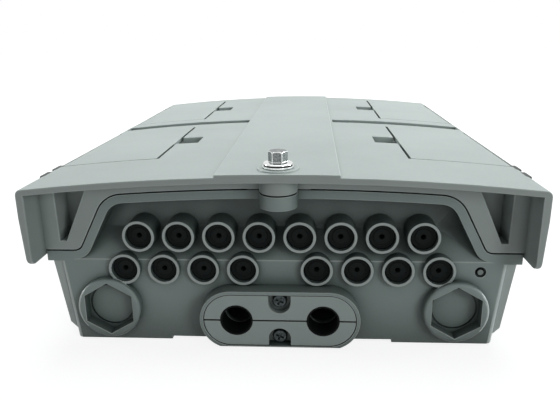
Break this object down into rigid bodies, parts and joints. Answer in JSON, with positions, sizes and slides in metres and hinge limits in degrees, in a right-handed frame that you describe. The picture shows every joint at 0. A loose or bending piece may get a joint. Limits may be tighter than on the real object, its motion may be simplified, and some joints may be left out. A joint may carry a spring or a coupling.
{
  "type": "fibre termination box",
  "caption": "Outdoor fibre distribution box with an arched hinged cover, plugged drop cable ports, a split feeder gland, roof flaps and a lock bolt",
  "frame": {"origin": "middle of the footprint on the box's back, at the level of its feet", "axes": "+X to the right and +Y away from the cable end along the box, +Z from the back to the cover"},
  "size_m": [0.2424, 0.311, 0.1],
  "materials": {
    "housing": "light grey moulded plastic, fine satin grain",
    "cover_plastic": "light grey moulded plastic, fine satin grain",
    "flap_plastic": "light grey moulded plastic, fine satin grain",
    "gland_plastic": "mid grey moulded plastic",
    "gland_soft": "dull grey elastomer",
    "plug_rubber": "dull black elastomer",
    "soft_rubber": "dull black elastomer",
    "vent_grey": "grey moulded plastic",
    "steel": "drawn stainless pin",
    "screw_steel": "plated steel screws",
    "bolt_steel": "bright plated steel",
    "brass": "turned brass, natural",
    "inner_plastic": "pale grey moulded plastic",
    "cap_plastic": "milky soft plastic",
    "adapter_plastic": "blue moulded plastic",
    "splice_plastic": "off-white moulded plastic",
    "lid_plastic": "clear smoky plastic sheet",
    "splitter_shell": "black moulded plastic case",
    "clip_plastic": "dark nylon"
  },
  "bodies": {
    "tray": {"base_tray": "housing", "cover_seal": "soft_rubber", "hinge_pins": "steel", "lock_insert": "brass", "gland_plate_upper": "gland_plastic", "gland_plate_lower": "gland_plastic", "gland_rubber": "gland_soft", "gland_screws": "screw_steel", "vent_plug": "vent_grey", "bracket_inserts": "brass", "cable_saddles": "inner_plastic", "inner_screws": "screw_steel", "end_wall": "housing", "adapter_panel": "inner_plastic", "adapter_caps": "cap_plastic", "splice_tray": "splice_plastic", "splice_holder": "splice_plastic", "splice_lid": "lid_plastic", "splitter_module": "splitter_shell", "port_plug_01": "plug_rubber", "port_plug_02": "plug_rubber", "port_plug_03": "plug_rubber", "port_plug_04": "plug_rubber", "port_plug_05": "plug_rubber", "port_plug_06": "plug_rubber", "port_plug_07": "plug_rubber", "port_plug_08": "plug_rubber", "port_plug_09": "plug_rubber", "port_plug_10": "plug_rubber", "port_plug_11": "plug_rubber", "port_plug_12": "plug_rubber", "port_plug_13": "plug_rubber", "port_plug_14": "plug_rubber", "port_plug_15": "plug_rubber", "port_plug_16": "plug_rubber", "fibre_adapter_01": "adapter_plastic", "fibre_adapter_02": "adapter_plastic", "fibre_adapter_03": "adapter_plastic", "fibre_adapter_04": "adapter_plastic", "fibre_adapter_05": "adapter_plastic", "fibre_adapter_06": "adapter_plastic", "fibre_adapter_07": "adapter_plastic", "fibre_adapter_08": "adapter_plastic", "fibre_adapter_09": "adapter_plastic", "fibre_adapter_10": "adapter_plastic", "fibre_adapter_11": "adapter_plastic", "fibre_adapter_12": "adapter_plastic", "fibre_adapter_13": "adapter_plastic", "fibre_adapter_14": "adapter_plastic", "fibre_adapter_15": "adapter_plastic", "fibre_adapter_16": "adapter_plastic"},
    "cover": {"cover": "cover_plastic", "flap_pins": "steel", "lock_washer": "soft_rubber"},
    "near_left_flap": {"flap_near_left": "flap_plastic"},
    "near_right_flap": {"flap_near_right": "flap_plastic"},
    "far_left_flap": {"flap_far_left": "flap_plastic"},
    "far_right_flap": {"flap_far_right": "flap_plastic"},
    "clip": {"lock_clip": "clip_plastic"},
    "bolt": {"lock_bolt": "bolt_steel"}
  },
  "joints": [
    {"name": "cover_hinge", "type": "hinge", "parent": "tray", "child": "cover", "pos_m": [0, 0.1474, 0.0445], "axis": [-1, 0, 0], "range_deg": [0, 110]},
    {"name": "near_left_flap_hinge", "type": "hinge", "parent": "cover", "child": "near_left_flap", "pos_m": [-0.1168, -0.0571, 0.08127], "axis": [0, -1, 0], "range_deg": [0, 90]},
    {"name": "near_right_flap_hinge", "type": "hinge", "parent": "cover", "child": "near_right_flap", "pos_m": [0.1168, -0.0571, 0.08127], "axis": [0, 1, 0], "range_deg": [0, 90]},
    {"name": "far_left_flap_hinge", "type": "hinge", "parent": "cover", "child": "far_left_flap", "pos_m": [-0.1168, 0.0866, 0.08127], "axis": [0, -1, 0], "range_deg": [0, 90]},
    {"name": "far_right_flap_hinge", "type": "hinge", "parent": "cover", "child": "far_right_flap", "pos_m": [0.1168, 0.0866, 0.08127], "axis": [0, 1, 0], "range_deg": [0, 90]},
    {"name": "lock_lift", "type": "slide", "parent": "cover", "child": "clip", "axis": [0, 0, 1], "range_m": [0, 0.0064]},
    {"name": "lock_turn", "type": "hinge", "parent": "clip", "child": "bolt", "pos_m": [0, -0.1445, 0.09], "axis": [0, 0, 1], "range_deg": [0, 2885]}
  ],
  "couplings": [
    {"joint": "lock_turn", "follows": "lock_lift", "rad_per_m": 7854}
  ]
}
